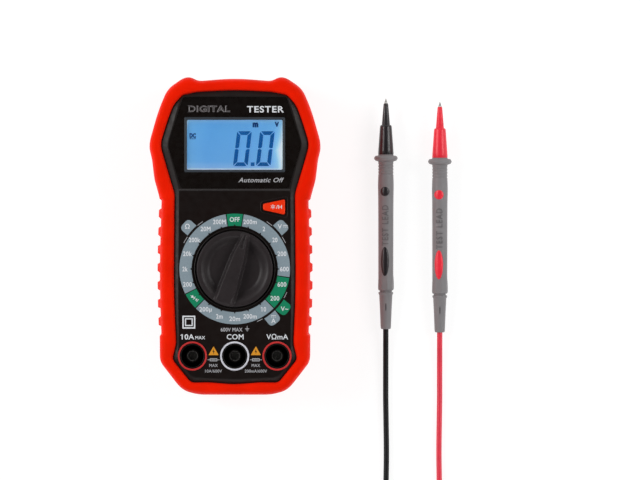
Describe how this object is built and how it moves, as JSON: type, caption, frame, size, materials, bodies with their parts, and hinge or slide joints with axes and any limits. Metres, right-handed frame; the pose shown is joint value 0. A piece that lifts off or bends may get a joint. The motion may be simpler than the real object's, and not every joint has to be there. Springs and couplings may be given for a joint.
{
  "type": "digital multimeter",
  "caption": "Handheld digital multimeter in a rubber holster, with a display, rotary range knob, hold button, input jacks, a fold-out stand and a pair of test leads.",
  "frame": {"origin": "under the middle of the meter, on the flat back that it lies on", "axes": "+Z out of the face, +Y towards the display end, +X to the right of the face"},
  "size_m": [0.1684, 0.2805, 0.038],
  "materials": {
    "holster_rubber": "satin moulded rubber",
    "case_plastic": "fine spark-textured moulding",
    "panel_film": "satin printed film",
    "clear_lens": "clear polished",
    "bezel_plastic": "satin",
    "lcd_glass": "back-lit pale blue",
    "light_guide": "milky",
    "natural_nylon": "natural moulded nylon",
    "elastomer": "layered silicone",
    "circuit_board": "solder resist on glass fibre",
    "contact_brass": "bright",
    "spring_steel": "zinc plated",
    "button_rubber": "satin moulded",
    "component_black": "moulded epoxy",
    "socket_plastic": "moulded",
    "nickel_plate": "nickel plate",
    "ring_red": "moulded",
    "ring_white": "moulded",
    "fuse_ceramic": "glazed ceramic tube",
    "battery_jacket": "plain printed jacket",
    "wire_insulation": "thin insulation",
    "probe_grey": "satin soft-touch moulding",
    "probe_black": "satin moulded",
    "probe_red": "satin moulded",
    "lead_black": "flexible silicone insulation",
    "lead_red": "flexible silicone insulation"
  },
  "bodies": {
    "meter": {"holster": "holster_rubber", "front_case": "case_plastic", "rear_case": "case_plastic", "display_panel": "panel_film", "face_label": "panel_film", "lcd_window": "clear_lens", "lcd_bezel": "bezel_plastic", "lcd_glass": "lcd_glass", "backlight": "light_guide", "lcd_holder": "natural_nylon", "zebra_strips": "elastomer", "main_board": "circuit_board", "switch_pads": "contact_brass", "tact_switch": "component_black", "socket_10a": "socket_plastic", "socket_common": "socket_plastic", "socket_volts": "socket_plastic", "sleeve_10a": "nickel_plate", "sleeve_common": "nickel_plate", "sleeve_volts": "nickel_plate", "jack_rings_red": "ring_red", "jack_ring_white": "ring_white", "fuses": "fuse_ceramic", "fuse_clips": "contact_brass", "shunt_wire": "contact_brass", "main_chip": "component_black", "buzzer": "component_black", "board_parts": "component_black", "battery": "battery_jacket", "battery_snap": "component_black", "battery_wires": "wire_insulation", "battery_door": "case_plastic", "door_screw": "spring_steel", "case_screws": "spring_steel", "board_screws": "spring_steel", "black_needle": "nickel_plate", "black_grip": "probe_grey", "black_inlays": "probe_black", "black_boot": "probe_grey", "black_cord_run": "lead_black", "black_coil": "lead_black", "black_tie": "natural_nylon", "black_plug": "probe_black", "red_needle": "nickel_plate", "red_grip": "probe_grey", "red_inlays": "probe_red", "red_boot": "probe_grey", "red_cord_run": "lead_red", "red_coil": "lead_red", "red_tie": "natural_nylon", "red_plug": "probe_red"},
    "knob": {"range_knob": "case_plastic", "contact_rotor": "natural_nylon", "rotor_wipers": "contact_brass", "detent_springs": "spring_steel", "detent_balls": "spring_steel"},
    "button": {"hold_button": "button_rubber"},
    "stand": {"tilt_stand": "case_plastic"},
    "black_cap": {"black_tip_cap": "probe_black"},
    "red_cap": {"red_tip_cap": "probe_red"}
  },
  "joints": [
    {"name": "knob_turn", "type": "hinge", "parent": "meter", "child": "knob", "pos_m": [0, -0.0148, 0.036], "axis": [0, 0, -1], "continuous": true},
    {"name": "button_press", "type": "slide", "parent": "meter", "child": "button", "axis": [0, 0, -1], "range_m": [0, 0.0008], "stiffness_N_per_m": 300, "springref_m": -0.001},
    {"name": "stand_swing", "type": "hinge", "parent": "meter", "child": "stand", "pos_m": [0, 0.022, 0.0034], "axis": [1, 0, 0], "range_deg": [0, 65]},
    {"name": "black_cap_pull", "type": "slide", "parent": "meter", "child": "black_cap", "axis": [0, 0.9995, 0.0305], "range_m": [0, 0.027]},
    {"name": "red_cap_pull", "type": "slide", "parent": "meter", "child": "red_cap", "axis": [0, 0.9995, 0.0305], "range_m": [0, 0.027]}
  ]
}
